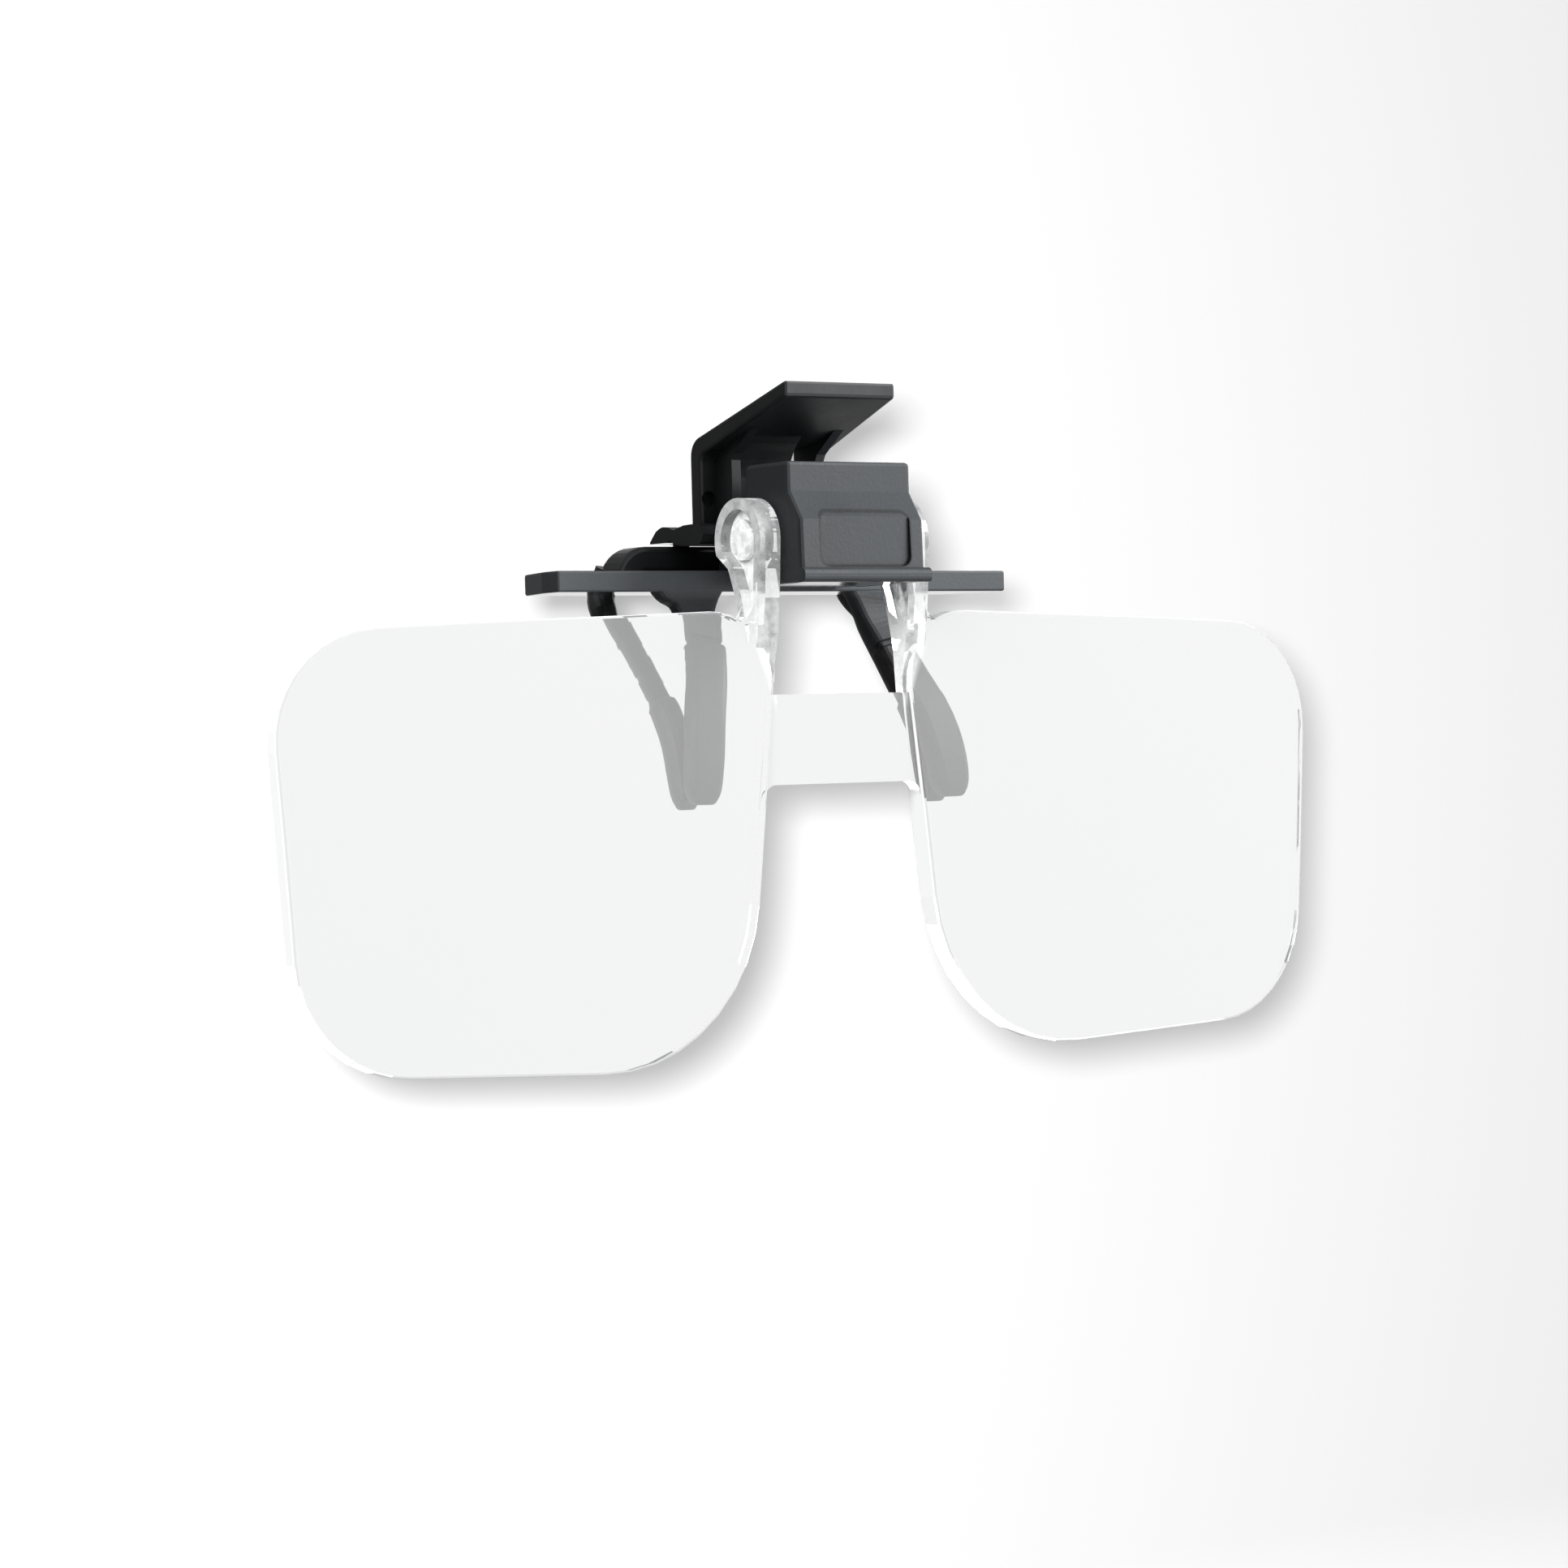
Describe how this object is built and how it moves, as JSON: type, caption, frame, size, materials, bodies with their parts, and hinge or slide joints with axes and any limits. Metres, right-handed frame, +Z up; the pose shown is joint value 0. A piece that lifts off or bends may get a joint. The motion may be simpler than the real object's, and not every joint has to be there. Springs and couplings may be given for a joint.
{
  "type": "clip-on flip lenses",
  "caption": "Clip-on magnifying lenses on a brow bar: a sprung thumb lever opens the rear jaw to clip over spectacles, and the clear lens moulding flips up on its ears.",
  "frame": {"origin": "middle of the brow bar's flat underside, where it rests on the spectacle frame", "axes": "+Z up, +Y back towards the wearer's face, +X to the right for someone looking at the front"},
  "size_m": [0.1146, 0.0252, 0.0624],
  "materials": {
    "charcoal_plastic": "fine moulded texture, matte",
    "dark_plastic": "satin moulded",
    "clear_acrylic": "optically clear, polished",
    "black_rubber": "soft matte sleeve",
    "white_acetal": "natural acetal",
    "spring_steel": "bright drawn wire"
  },
  "bodies": {
    "clip": {"front_frame": "charcoal_plastic", "hinge_housing": "charcoal_plastic", "detent_plunger_right": "white_acetal", "detent_plunger_left": "white_acetal", "detent_spring": "spring_steel", "jaw_pin": "spring_steel", "jaw_spring": "spring_steel", "front_sleeve_right": "black_rubber", "front_sleeve_left": "black_rubber"},
    "lenses": {"lens_pair": "clear_acrylic"},
    "jaw": {"thumb_lever": "dark_plastic", "rear_jaw": "dark_plastic", "rear_sleeve_right": "black_rubber", "rear_sleeve_left": "black_rubber"}
  },
  "joints": [
    {"name": "lens_flip", "type": "hinge", "parent": "clip", "child": "lenses", "pos_m": [0, -0.01, 0.0045], "axis": [-1, 0, 0], "range_deg": [0, 95]},
    {"name": "jaw_open", "type": "hinge", "parent": "clip", "child": "jaw", "pos_m": [0, -0.0003, 0.00545], "axis": [1, 0, 0], "range_deg": [0, 18], "stiffness_Nm_per_rad": 0.06, "springref_deg": -40.11}
  ]
}
